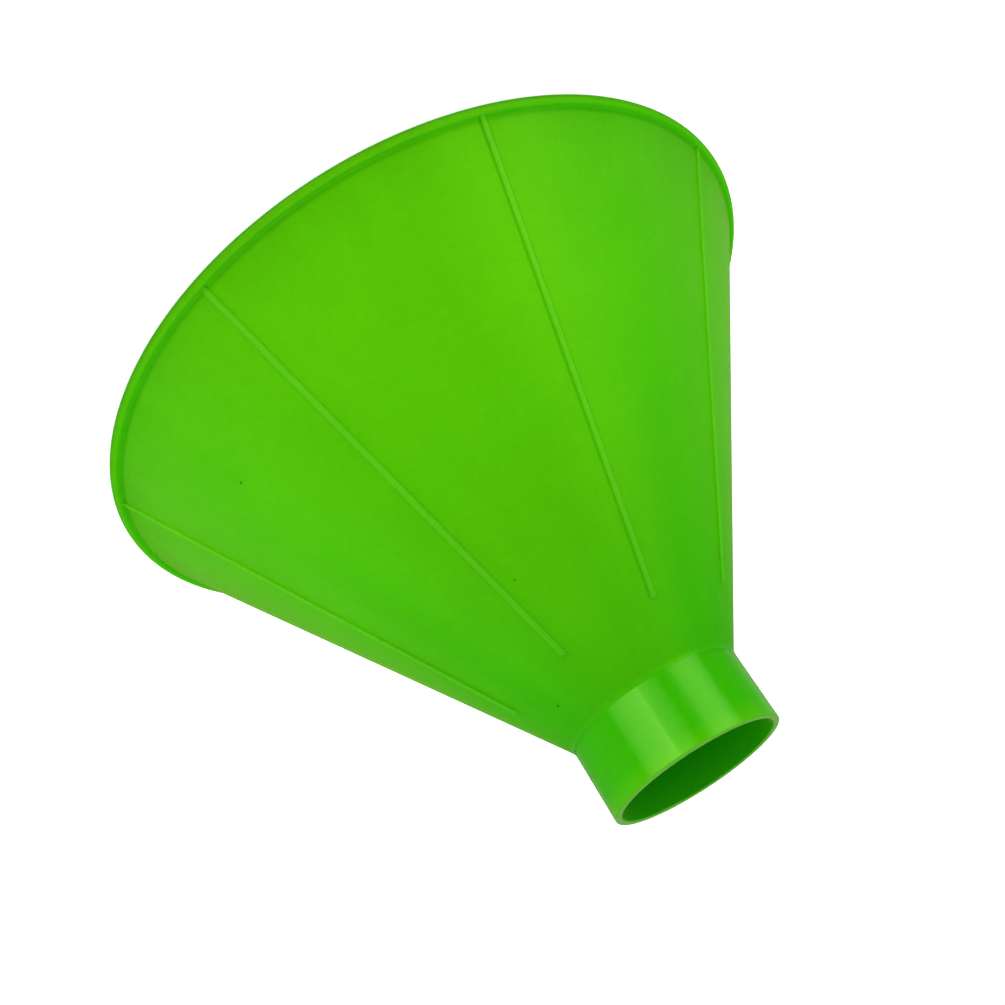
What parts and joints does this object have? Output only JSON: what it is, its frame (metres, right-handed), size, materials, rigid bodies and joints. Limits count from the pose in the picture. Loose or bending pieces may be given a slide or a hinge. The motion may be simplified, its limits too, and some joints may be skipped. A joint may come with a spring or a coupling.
{
  "type": "canning funnel",
  "caption": "Wide conical filling funnel with a rounded rim bead, long stiffening ribs down the outside and a short straight round spout.",
  "frame": {"origin": "centre of the mouth rim's flat face, which is the plane z = 0", "axes": "+Z along the funnel's axis from the mouth towards the spout, so the part stands mouth down with its spout up; +X lies midway between two ribs"},
  "size_m": [0.15, 0.15, 0.101],
  "materials": {
    "satin_green": "fine satin texture, lime green polypropylene",
    "gloss_green": "polished, lime green polypropylene"
  },
  "bodies": {
    "root": {"rim_bead": "satin_green", "cone_wall": "satin_green", "spout": "gloss_green", "rib_1": "satin_green", "rib_2": "satin_green", "rib_3": "satin_green", "rib_4": "satin_green", "rib_5": "satin_green", "rib_6": "satin_green", "rib_7": "satin_green", "rib_8": "satin_green"}
  },
  "joints": []
}
